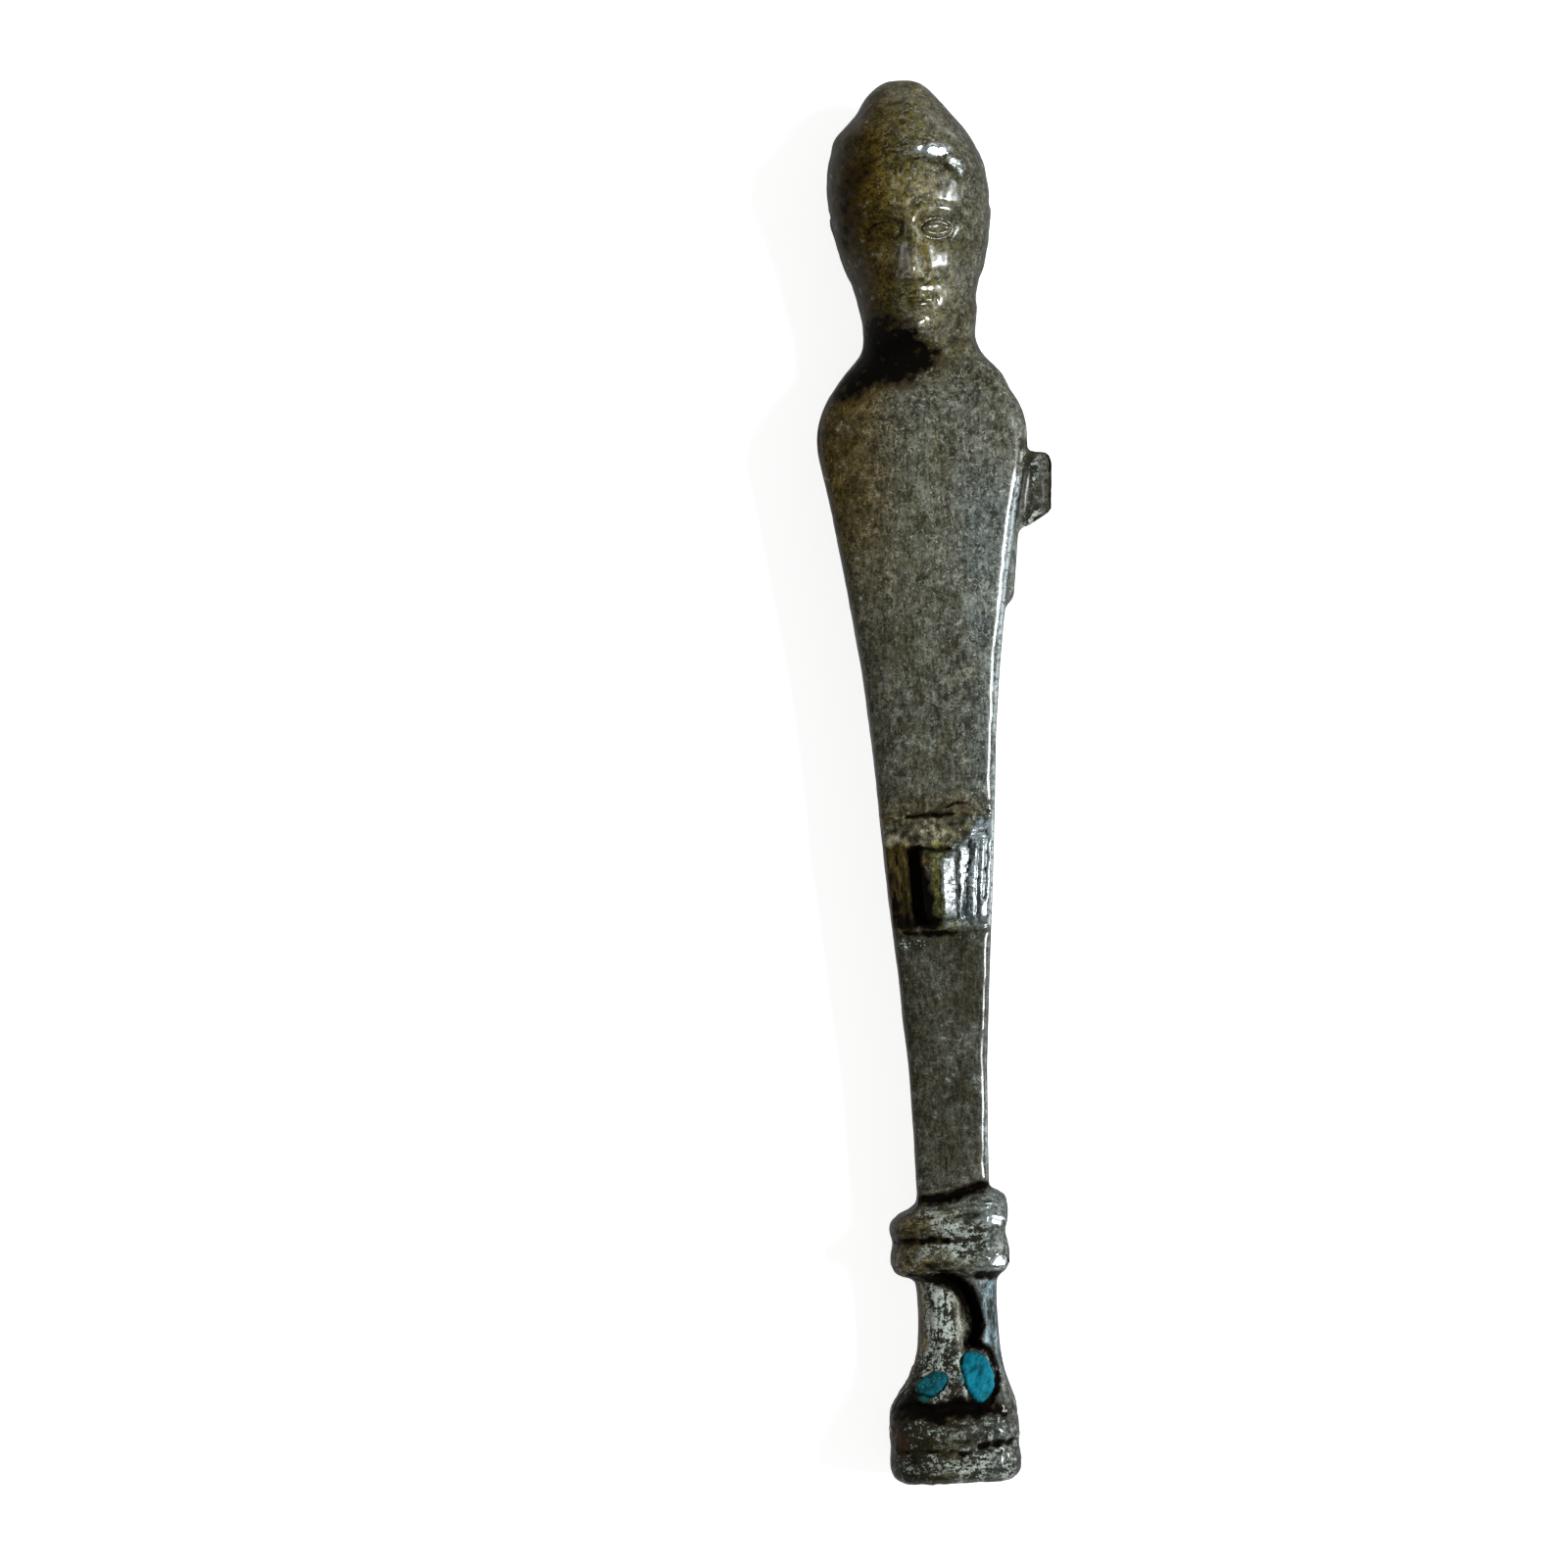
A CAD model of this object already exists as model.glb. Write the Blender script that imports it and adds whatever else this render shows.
"""Looks of a small cast bronze herm figure, worn smooth and dark with age, that lies on its back."""
import math

import bmesh
import bpy
import numpy as np
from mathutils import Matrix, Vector, noise


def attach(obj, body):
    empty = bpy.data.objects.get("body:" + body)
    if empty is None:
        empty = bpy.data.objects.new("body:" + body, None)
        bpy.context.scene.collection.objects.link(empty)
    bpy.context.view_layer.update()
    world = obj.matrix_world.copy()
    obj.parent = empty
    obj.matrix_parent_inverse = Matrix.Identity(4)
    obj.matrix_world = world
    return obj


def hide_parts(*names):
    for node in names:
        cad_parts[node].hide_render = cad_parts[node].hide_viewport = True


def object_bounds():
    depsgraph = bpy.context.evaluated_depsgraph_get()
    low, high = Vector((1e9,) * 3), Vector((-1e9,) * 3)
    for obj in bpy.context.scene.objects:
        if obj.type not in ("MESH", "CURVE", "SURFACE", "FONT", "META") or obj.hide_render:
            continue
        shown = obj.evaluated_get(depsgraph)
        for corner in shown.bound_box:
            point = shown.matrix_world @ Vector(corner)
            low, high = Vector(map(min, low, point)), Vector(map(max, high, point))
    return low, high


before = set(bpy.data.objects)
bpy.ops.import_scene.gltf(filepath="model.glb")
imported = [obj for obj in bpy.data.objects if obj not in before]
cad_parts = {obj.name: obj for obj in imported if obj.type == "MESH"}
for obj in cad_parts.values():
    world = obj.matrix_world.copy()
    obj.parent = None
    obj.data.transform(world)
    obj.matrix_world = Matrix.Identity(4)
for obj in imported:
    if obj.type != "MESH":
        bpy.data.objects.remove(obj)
cad_low, cad_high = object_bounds()

# The view: the figure lies on a pale table and is seen from straight above, a little crooked, with
# more room at its left than at its right.
MM = 0.001
VIEW_W = 89.8 * MM
VIEW_DISTANCE = 420 * MM
VIEW_ASIDE = -9.4 * MM
VIEW_UP = 0.25 * MM
VIEW_LEAN = math.radians(2.44)
SHAFT_FRONT = 6.0 * MM

camera_data = bpy.data.cameras.new("camera")
camera_data.lens = camera_data.sensor_width * VIEW_DISTANCE / VIEW_W
camera_data.clip_start = 0.01
camera = bpy.data.objects.new("camera", camera_data)
camera.location = (VIEW_ASIDE, VIEW_UP, SHAFT_FRONT + VIEW_DISTANCE)
camera.rotation_euler = (0.0, 0.0, -VIEW_LEAN)
bpy.context.collection.objects.link(camera)
bpy.context.scene.camera = camera

# The figure: one solid bronze casting, from the foot to the crown of the cap, with the stub of an arm
# at the right. The cast blank is cut into small squares and softened, as handling has softened it,
# and then its face, cap, panel, collar and foot are worked over. All its places are in millimetres:
# across from its axis, up from its foot, and off the table.
SQUARE = 0.206 * MM
MERGE = 0.001 * MM
AXIS_FROM_LEFT = 6.03
CHEST_CROWN = 0.010
STUB_LOW = 49.5
STUB_HIGH = 59.3
NECK = (62.0, 65.0)


def even_copy(node, name, square):
    """A new piece with a node's form, cut into even squares."""
    bm = bmesh.new()
    bm.from_mesh(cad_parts[node].data)
    bmesh.ops.remove_doubles(bm, verts=bm.verts, dist=MERGE)
    piece = bpy.data.objects.new(name, bpy.data.meshes.new(name))
    bm.to_mesh(piece.data)
    bm.free()
    bpy.context.collection.objects.link(piece)
    squares = piece.modifiers.new("even squares", "REMESH")
    squares.mode = "VOXEL"
    squares.voxel_size = square
    squares.use_smooth_shade = True
    apply_modifiers(piece)
    return piece


def apply_modifiers(piece):
    """Makes what the modifiers show the piece's own mesh."""
    graph = bpy.context.evaluated_depsgraph_get()
    mesh = bpy.data.meshes.new_from_object(piece.evaluated_get(graph))
    piece.modifiers.clear()
    piece.vertex_groups.clear()
    piece.data = mesh


def read_points(piece):
    """Where a piece's points are, in the figure's millimetres."""
    flat = np.empty(3 * len(piece.data.vertices))
    piece.data.vertices.foreach_get("co", flat)
    points = (flat.reshape(-1, 3) - np.array(cad_low)) / MM
    points[:, 0] -= AXIS_FROM_LEFT
    return points


def read_normals(piece):
    """Which way the surface faces at each of a piece's points."""
    flat = np.empty(3 * len(piece.data.vertices))
    piece.data.vertex_normals.foreach_get("vector", flat)
    return flat.reshape(-1, 3)


def write_points(piece, points):
    """Moves a piece's points to places in the figure's millimetres."""
    placed = (points + (AXIS_FROM_LEFT, 0.0, 0.0)) * MM + np.array(cad_low)
    piece.data.vertices.foreach_set("co", placed.ravel())
    piece.data.update()


def soften(piece, rounds, weight=None):
    """Smooths a piece, each point as far as its weight from 0 to 1 says."""
    smooth = piece.modifiers.new("soften", "SMOOTH")
    smooth.iterations = rounds
    if weight is not None:
        group = piece.vertex_groups.new(name="soft")
        tenths = np.round(weight * 10).astype(int)
        for tenth in range(1, 11):
            group.add(np.flatnonzero(tenths == tenth).tolist(), tenth / 10, "REPLACE")
        smooth.vertex_group = group.name
    apply_modifiers(piece)


def rise(value, low, high):
    """Rises smoothly from 0 at low to 1 at high."""
    share = np.clip((value - low) / (high - low), 0.0, 1.0)
    return share * share * (3 - 2 * share)


def between(value, low, high, edge):
    """Is 1 from low to high and fades out over the edge on both sides."""
    return rise(value, low - edge, low) * (1 - rise(value, high, high + edge))


def raise_front(piece, height):
    """Lifts what faces up by a height, which may also be less than nothing."""
    points = read_points(piece)
    points[:, 2] += height * rise(read_normals(piece)[:, 2], 0.02, 0.30)
    write_points(piece, points)


figure = even_copy("herm_figure", "cast_herm", SQUARE)
across, up, off = read_points(figure).T
wear = 0.35 + 0.40 * between(up, 18.0, 30.0, 1.0) + 0.55 * rise(up, 39.6, 41.0)
wear += 0.10 * rise(up, 57.5, 61.0)
broken_stub = rise(across, 5.4, 5.8) * between(up, STUB_LOW, STUB_HIGH, 0.5)
soften(figure, 20, wear * (1 - 0.6 * broken_stub))
across, up, off = read_points(figure).T
raise_front(figure, -CHEST_CROWN * across ** 2 * between(up, 40.0, 60.0, 5.0))

# The face looks up from under the cap. It is a calm, plain face of the usual proportions: three equal
# heights from the chin to the rim, and five eye widths across.
CHIN = 65.3
FACE_H = 10.5
FACE_W = 7.4
FACE_ASIDE = -0.2
FACE_OFF = 6.0
FACE_MIDDLE = CHIN + 0.47 * FACE_H
FACE_PART = FACE_H / 3
EYE_W = FACE_W / 5
EYE_UP = CHIN + 1.84 * FACE_PART
MOUTH_UP = CHIN + 0.68 * FACE_PART


def hill(value, centre, reach):
    """Is 1 at the centre and falls smoothly to 0 at the reach on both sides."""
    return 1 - rise(np.abs(value - centre), 0.0, reach)


def spot(across, up, centre, wide, high):
    """Is 1 in the middle of an oval and falls smoothly to 0 at its edge."""
    return hill(np.hypot((across - centre[0]) / wide, (up - centre[1]) / high), 0.0, 1.0)


def refine(piece, wanted):
    """Cuts the squares between wanted points into four."""
    bm = bmesh.new()
    bm.from_mesh(piece.data)
    edges = [edge for edge in bm.edges if wanted[edge.verts[0].index] and wanted[edge.verts[1].index]]
    bmesh.ops.subdivide_edges(bm, edges=edges, cuts=1, use_grid_fill=True)
    bm.to_mesh(piece.data)
    bm.free()


def nose_relief(side, high):
    """The straight nose, from between the brows to its tip, with its wings and nostrils."""
    brow = 2.10 * FACE_PART
    down = np.clip((brow - high) / (brow - FACE_PART), 0.0, 1.0)
    width = 0.40 + 0.34 * down ** 2
    ridge = (0.16 + 0.66 * down ** 1.2) * np.exp(-1.1 * (side / width) ** 2)
    ridge *= rise(high, FACE_PART - 0.35, FACE_PART + 0.20) * (1 - rise(high, brow - 0.6, brow + 0.7))
    tip = 0.12 * spot(side, high, (0.0, FACE_PART + 0.40), 0.60, 0.60)
    wings = 0.30 * spot(side, high, (0.60, FACE_PART + 0.24), 0.40, 0.44)
    nostrils = -0.20 * spot(side, high, (0.33, FACE_PART - 0.06), 0.24, 0.16)
    return ridge + tip + wings + nostrils


def eye_relief(side, high):
    """An eye in its socket, with both lids, under the arch of the brow."""
    out = side - EYE_W
    over = high - (EYE_UP - CHIN)
    arc = np.clip(1 - (out / 0.84) ** 2, 0.0, 1.0) ** 0.8
    socket = -0.46 * spot(out, over, (0.0, 0.12), 1.35, 1.00)
    corner = -0.16 * spot(side, over, (0.66, 0.10), 0.40, 0.60)
    ball = 0.46 * np.sqrt(np.clip(1 - (out / 0.86) ** 2 - (over / 0.56) ** 2, 0.0, 1.0))
    upper_lid = 0.15 * hill(over, 0.34 * arc, 0.15) * rise(arc, 0.0, 0.2)
    lower_lid = 0.08 * hill(over, -0.32 * arc, 0.13) * rise(arc, 0.0, 0.2)
    fold = -0.10 * hill(over, 0.58 * arc, 0.15) * rise(arc, 0.0, 0.2)
    arch = 2.16 * FACE_PART - 0.13 * (side - 1.2) ** 2
    brow = 0.20 * hill(high, arch, 0.62) * between(side, 0.30, 2.3, 0.7)
    return socket + corner + ball + upper_lid + lower_lid + fold + brow


def mouth_relief(side, high):
    """Closed lips on the soft swell of the jaw, and the chin."""
    over = high - (MOUTH_UP - CHIN)
    taper = np.sqrt(np.clip(1 - (side / 1.28) ** 2, 0.0, 1.0))
    swell = 0.24 * spot(side, over, (0.0, 0.0), 1.9, 1.5)
    dent = -0.06 * hill(side, 0.0, 0.20) * between(over, 0.46, 0.90, 0.15)
    bow = 0.07 * hill(side, 0.30, 0.30)
    upper_lip = 0.21 * hill(over, 0.25 * taper + bow, 0.30) * taper
    lower_lip = 0.25 * hill(over, -0.29 * taper, 0.36) * taper
    parting = -0.20 * hill(over, 0.0, 0.15) * taper ** 0.5
    corners = -0.12 * spot(side, over, (1.28, 0.0), 0.30, 0.28)
    under_lip = -0.13 * hill(over, -0.86, 0.36) * (1 - rise(side, 0.3, 1.2))
    chin = 0.30 * spot(side, over, (0.0, -1.55), 1.15, 0.90)
    return swell + dent + upper_lip + lower_lip + parting + corners + under_lip + chin


def face_oval(points):
    """Is 1 inside the oval of the face and falls smoothly to 0 at its edge."""
    across, up = points.T[:2]
    ring = np.hypot((across - FACE_ASIDE) / 4.0, (up - FACE_MIDDLE) / 6.3)
    return (1 - rise(ring, 0.82, 1.05)) * rise(up, CHIN - 1.0, CHIN + 0.3)


points = read_points(figure)
turned_up = rise(read_normals(figure)[:, 2], 0.0, 0.35)
soften(figure, 160, face_oval(points) * turned_up)
neck = between(read_points(figure)[:, 1], 62.8, 65.2, 0.8)
soften(figure, 40, neck)

across, up, off = read_points(figure).T
front = read_normals(figure)[:, 2] > 0.15
face_zone = (up > 64.6) & (up < 77.4) & (np.abs(across) < 4.2) & (off > FACE_OFF)
panel_zone = (up > 30.8) & (up < 39.6) & front
foot_zone = (up > 0.4) & (up < 17.4) & front
refine(figure, face_zone | panel_zone | foot_zone)
across, up, off = read_points(figure).T
from_eye = np.abs(np.abs(across - FACE_ASIDE) - EYE_W)
eye_zone = (np.abs(up - EYE_UP) < 0.9) & (from_eye < 1.0) & (off > FACE_OFF)
refine(figure, eye_zone)

points = read_points(figure)
across, up, off = points.T
side = np.abs(across - FACE_ASIDE)
high = up - CHIN
cheek = 0.20 * spot(side, high, (1.95, 1.30 * FACE_PART), 1.4, 1.6)
features = nose_relief(side, high) + eye_relief(side, high) + mouth_relief(side, high) + cheek
raise_front(figure, features * face_oval(points))
soften(figure, 2, rise(up, 64.4, 65.4))

# The cap is a blunt, close dome whose rim runs in a low arc over the forehead, a thick polished roll at
# the right and only a fine line at the left. Short locks come out from under it at the temples.
RIM_LINE = [(-2.75, 75.40), (-1.5, 76.02), (-0.3, 76.26)]
ROLL = [(-0.2, 76.30), (0.8, 76.25), (1.6, 76.00), (2.3, 75.50), (3.0, 74.90)]
UNDER_ROLL = [(-0.2, 75.75), (0.7, 75.62), (1.5, 75.35)]
RIM_TOP = 76.2
RIM_SAG = 2.1
HEAD_RADIUS = 4.3
LOCKS_LOW = 70.6
LOCKS_HIGH = 74.6
TEMPLE = [(-2.9, 75.1), (-3.5, 74.5), (-3.95, 73.3), (-3.9, 71.3)]


def stroke(across, up, route, reach):
    """Is 1 along a line through a few places, and falls smoothly to 0 at the reach."""
    nearest = np.full(across.shape, np.inf)
    for (start_x, start_y), (end_x, end_y) in zip(route, route[1:]):
        step_x = end_x - start_x
        step_y = end_y - start_y
        share = ((across - start_x) * step_x + (up - start_y) * step_y) / (step_x ** 2 + step_y ** 2)
        share = np.clip(share, 0.0, 1.0)
        gap = np.hypot(across - start_x - share * step_x, up - start_y - share * step_y)
        nearest = np.minimum(nearest, gap)
    return 1 - rise(nearest, 0.0, reach)


def lumps(points, size, octaves=3):
    """Uneven lumps between about -1 and 1, of a size in millimetres."""
    return np.array([noise.fractal(Vector(place), 1.0, 2.0, octaves) for place in points / size])


def strayed(points, amount, size):
    """Places that stray by about an amount, so that what is drawn at them comes out ragged."""
    aside = lumps(points, size)
    along = lumps(points + 40.0, size)
    return points[:, 0] + amount * aside, points[:, 1] + amount * along


def cap_relief(across, up):
    """The rim with its fine groove, and the locks with the shallow recess at the left temple."""
    side = np.abs(across - FACE_ASIDE)
    roll = 0.24 * stroke(across, up, ROLL, 0.75)
    dents = 0.08 * spot(across, up, (0.2, 76.25), 0.7, 0.45)
    groove = -0.07 * stroke(across, up, RIM_LINE, 0.17) - 0.06 * stroke(across, up, UNDER_ROLL, 0.20)
    beside = between(up, LOCKS_LOW, LOCKS_HIGH, 0.6) * rise(side, 3.0, 3.5)
    strands = (0.02 + 0.08 * np.cos(5.2 * up + 2.0 * side)) * beside
    temple = -0.12 * stroke(across, up, TEMPLE, 0.75)
    return roll + dents + groove + strands + temple


def hidden_locks(points):
    """The rim and the locks under it, where they run on round the sides and the back of the head."""
    across, up, off = points.T
    rim_up = RIM_TOP - RIM_SAG * (across / HEAD_RADIUS) ** 2 - 0.4 * np.clip(6.0 - off, 0.0, 5.0)
    along = np.arctan2(off - HEAD_RADIUS, across) * HEAD_RADIUS
    waves = np.cos(6.5 * along + 1.2 * np.sin(1.6 * up)) * between(up, rim_up - 4.2, rim_up - 0.5, 0.8)
    return 0.07 * waves - 0.12 * hill(up, rim_up, 0.30)


across, up = strayed(read_points(figure), 0.07, 0.9)
raise_front(figure, cap_relief(across, up))
points = read_points(figure)
normals = read_normals(figure)
turned_away = (1 - rise(normals[:, 2], -0.05, 0.25)) * rise(points[:, 1], 66.0, 68.0)
points += normals * (hidden_locks(points) * turned_away)[:, None]
write_points(figure, points)

# The panel on the shaft has a cross line above and below, a plain band, and a sunk field in which a
# half-round upright block stands. Its right side is worn down into bright flutes.
BAND_LOW = 36.4
PANEL_LOW = 31.6
BLOCK_LEFT = -1.25
PANEL_LEAN = 0.035
FACET_LEFT = 0.10
FACET_RIGHT = 0.74
FACET_LOW = 32.6
FACET_HIGH = 35.7
FACET_OFF = 6.88
FACET_SLOPE = 0.395
FACET_TURN = -0.020
UPPER_LINE = [(-3.4, 38.5), (-1.75, 38.3), (-0.2, 38.29), (1.0, 38.44)]
SLOT = [(-1.35, 36.42), (0.5, 36.33)]
FLUTES = [[(0.98, 36.3), (0.88, 32.2)], [(1.73, 36.7), (1.29, 32.6)], [(2.28, 36.7), (1.95, 32.5)],
          [(2.80, 37.4), (2.42, 33.4)]]


def panel_relief(across, up):
    """The cross lines, the slot and the gap round the block, and the upright flutes beside it."""
    upper_line = -0.15 * stroke(across, up, UPPER_LINE, 0.17)
    upper_end = -0.10 * stroke(across, up, [(1.0, 38.44), (2.0, 38.40), (3.2, 38.3)], 0.17)
    second_line = -0.12 * stroke(across, up, [(0.2, 38.76), (1.4, 39.0), (3.1, 38.7)], 0.15)
    lower_line = -0.14 * stroke(across, up, [(-2.3, 31.66), (-0.8, 31.56), (0.7, 31.56)], 0.17)
    lower_end = -0.12 * stroke(across, up, [(0.7, 31.56), (1.9, 31.66), (2.7, 31.75)], 0.16)
    slot = -0.20 * stroke(across, up, SLOT, 0.17)
    inside = between(up, PANEL_LOW + 0.6, BAND_LOW - 0.1, 0.25)
    lean = PANEL_LEAN * (BAND_LOW - up)
    gap = -0.45 * between(across - 2 * lean, BLOCK_LEFT - 0.62, BLOCK_LEFT + 0.02, 0.12) * inside
    frame_ridge = 0.10 * hill(across - 2.6 * lean, BLOCK_LEFT - 0.98, 0.30) * inside
    left_field = 0.03 * np.cos(8.0 * across) * between(across, -3.2, BLOCK_LEFT - 1.2, 0.1) * inside
    return (upper_line + upper_end + second_line + lower_line + lower_end + slot + gap + frame_ridge
            + left_field - 0.16 * sum(stroke(across, up, flute, 0.15) for flute in FLUTES))


points = read_points(figure)
across, up = strayed(points, 0.10, 0.6)
relief = panel_relief(across, up) * between(up, 30.5, 39.6, 0.3)
facet_lift = FACET_OFF + FACET_TURN * (up - 34.0) - FACET_SLOPE * (across - FACET_LEFT) - points[:, 2]
facet_lift *= between(across, FACET_LEFT, FACET_RIGHT, 0.20)
relief += facet_lift * between(up, FACET_LOW, FACET_HIGH, 0.4)
raise_front(figure, relief)

# The foot end: two uneven beads, a neck with a curved channel and a rough tongue of crust, and a base
# with a worn roll, a broken groove and a slab. What blue filling is left sits in two cells.
CHANNEL = [(-0.9, 11.8), (-0.1, 11.4), (0.6, 10.5), (0.88, 9.5), (0.9, 8.7), (0.55, 8.0)]
CRESCENT = [(0.55, 8.0), (1.38, 7.73), (1.85, 6.9), (1.98, 6.1), (1.90, 5.3), (1.5, 4.7)]
TONGUE = [(-1.25, 11.0), (-1.1, 9.6), (-0.95, 8.0)]
UNDERCUT = [(-3.3, 15.75), (-2.1, 16.2), (-0.4, 16.38), (1.1, 16.85), (2.1, 17.0)]
DARK_BAND = [(-4.2, 4.3), (-2.6, 4.45), (-1.6, 4.1), (-0.4, 4.4), (0.6, 4.3)]
BAND_END = [(0.6, 4.3), (1.5, 4.45), (2.3, 4.0)]
BASE_GROOVE = [(-3.6, 2.05), (-1.4, 1.94), (0.2, 1.75)]


def collar_relief(across, up):
    """The undercut over the collar, the grooves between its beads and the swell of each bead."""
    undercut = -0.26 * stroke(across, up, UNDERCUT, 0.34)
    right_line = -0.16 * stroke(across, up, [(0.1, 15.5), (1.3, 15.68), (3.0, 15.75)], 0.28)
    middle = -0.18 * stroke(across, up, [(-3.5, 13.98), (-0.8, 13.96)], 0.26)
    middle_end = -0.14 * stroke(across, up, [(-0.8, 13.96), (0.7, 13.98), (3.0, 14.02)], 0.32)
    upper_bead = 0.16 * stroke(across, up, [(-2.8, 14.8), (0.4, 14.8), (2.3, 15.0)], 0.62)
    lower_bead = 0.14 * stroke(across, up, [(-3.0, 12.9), (2.3, 12.75)], 0.80)
    under = -0.18 * stroke(across, up, [(-2.4, 11.85), (-0.9, 11.75), (2.1, 11.8)], 0.34)
    knobs = 0.12 * (spot(across, up, (2.35, 15.0), 0.9, 0.60) + spot(across, up, (2.45, 12.6), 0.9, 0.65))
    return undercut + right_line + middle + middle_end + upper_bead + lower_bead + under + knobs


def pedestal_relief(across, up):
    """The tongue of crust, the channel and the gap round the right cell, and the dark band."""
    tongue = 0.16 * stroke(across, up, TONGUE, 1.05)
    channel = -0.55 * stroke(across, up, CHANNEL, 0.45)
    crescent = -0.26 * stroke(across, up, CRESCENT, 0.24)
    band = -0.26 * stroke(across, up, DARK_BAND, 0.50) - 0.12 * stroke(across, up, BAND_END, 0.40)
    return tongue + channel + crescent + band


def base_relief(across, up):
    """The broken groove between the roll and the slab, and the deep slot at its right end."""
    groove = -0.12 * stroke(across, up, BASE_GROOVE, 0.20)
    slot = -0.26 * stroke(across, up, [(0.9, 2.15), (1.9, 2.32), (2.6, 2.34)], 0.26)
    roll = 0.10 * stroke(across, up, [(-3.4, 3.0), (-0.5, 2.9), (2.7, 3.0)], 0.55)
    return groove + slot + roll


across, up = strayed(read_points(figure), 0.16, 0.8)
raise_front(figure, collar_relief(across, up) + pedestal_relief(across, up) + base_relief(across, up))

# Age has left the casting uneven: soft waves all over, pits and crust at the foot and on the broken
# arm stub, small flats where it was rubbed most, each with its place, width and height, and nicks.
NICKS = 90
NICK_REACH = (0.2, 0.6)
NICK_DEPTH = (0.02, 0.07)
FLAT_LEAN = 0.375
FLAT_TILT = 0.019
FLAT_TURN = 0.0023
FLAT_MIDDLE = 40.2
BACK_HALF = 4.0
RUBBED = [((0.62, 76.28), 0.55, 0.30), ((2.55, 75.50), 0.60, 0.34), ((1.45, 76.08), 0.95, 0.46),
          ((2.38, 14.98), 0.62, 0.48), ((2.48, 12.58), 0.62, 0.48)]
RIGHT_EDGE = [(1.96, 17.5), (3.72, 45.5), (4.29, 51.1), (4.91, 55.0), (5.46, 57.4)]

points = read_points(figure)
across, up, off = points.T
crust = np.clip(
    1.0 * stroke(across, up, TONGUE, 1.70)
    + 0.85 * between(up, 4.6, 7.2, 0.6) * (1 - rise(across, 1.5, 2.1))
    + 0.62 * between(up, -1.0, 4.4, 0.5) + 0.45 * between(up, 12.0, 16.4, 0.5)
    + 0.50 * spot(across, up, (0.2, 13.8), 2.6, 1.9), 0.0, 1.0)
bead_ends = spot(across, up, (2.40, 15.0), 1.0, 0.65) + spot(across, up, (2.50, 12.6), 1.0, 0.65)
crust *= 1 - np.clip(1.3 * bead_ends, 0.0, 1.0)
stub = rise(across, 5.2, 5.7) * between(up, STUB_LOW, STUB_HIGH, 0.5)
rough = np.clip(crust + 0.6 * stub, 0.0, 1.0)
resting = rise(off, 0.0, 0.6)
calm = (1 - 0.6 * face_oval(points)) * (1 - 0.75 * stroke(across, up, RIGHT_EDGE, 0.9))
waves = 0.040 * lumps(points, 2.8, 2) + (0.018 + 0.022 * rise(up, *NECK)) * lumps(points, 0.9, 2)
grains = (0.006 + 0.075 * rough) * lumps(points, 0.45, 4)
flank = (0.14 * hill(up, 77.2, 1.0) - 0.10 * hill(up, 78.8, 0.9)) * rise(-across, 1.8, 3.0)
normals = read_normals(figure)
points += normals * ((waves + grains) * calm * resting + flank)[:, None]
crown_bulge = 0.34 * normals[:, 0] * rise(up, 78.2, 80.0)
jaw_bulge = 0.24 * between(up, 63.6, 67.0, 1.2) * rise(across, 1.6, 3.0)
points[:, 0] += crown_bulge + jaw_bulge
points[:, 1] += 0.16 * normals[:, 1] * rise(up, 79.2, 80.2)
points[:, 1] += 0.45 * stub * rise(across, 5.7, 7.0) * (1 - rise(up, 54.6, 56.2))
write_points(figure, points)
soften(figure, 1)


def rub_flat(points, place, wide, high):
    """Wears a small flat round a place on the front. All the flats lean much the same way."""
    near = np.hypot(points[:, 0] - place[0], points[:, 1] - place[1])
    near[points[:, 2] < BACK_HALF] = np.inf
    middle = points[np.argmin(near), 2]
    around = np.flatnonzero(near < wide + high)
    across, up = strayed(points[around], 0.14, 0.45)
    flat = middle - FLAT_LEAN * (points[around, 0] - place[0])
    flat -= (FLAT_TILT - FLAT_TURN * (place[1] - FLAT_MIDDLE)) * (points[around, 1] - place[1])
    share = 1 - rise(np.hypot((across - place[0]) / wide, (up - place[1]) / high), 0.55, 1.0)
    points[around, 2] += (flat - points[around, 2]) * share


rubbed = read_points(figure)
for place, wide, high in RUBBED:
    rub_flat(rubbed, place, wide, high)
write_points(figure, rubbed)


def depth_below(piece, rounds):
    """How far each point lies below what is round it, in millimetres. An edge lies above it."""
    ghost = bpy.data.objects.new("ghost", piece.data.copy())
    bpy.context.collection.objects.link(ghost)
    soften(ghost, rounds)
    shift = read_points(ghost) - read_points(piece)
    bpy.data.objects.remove(ghost)
    return np.sum(shift * read_normals(piece), axis=1)


fine = depth_below(figure, 6)
points = read_points(figure)
normals = read_normals(figure)
smooth = stroke(points[:, 0], points[:, 1], RIGHT_EDGE, 0.9) > 0.1
smooth |= (np.abs(points[:, 1] - 34.2) < 2.6) & (np.abs(points[:, 0] - 0.5) < 0.9)
worn_edges = (fine < -0.008) & (points[:, 2] > 0.8) & (points[:, 1] < 64.0) & ~smooth
dice = np.random.default_rng(4)
for place in points[dice.choice(np.flatnonzero(worn_edges), NICKS)]:
    reach = dice.uniform(*NICK_REACH)
    depth = dice.uniform(*NICK_DEPTH)
    points -= normals * (depth * hill(np.linalg.norm(points - place, axis=1), 0.0, reach))[:, None]
write_points(figure, points)

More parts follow.
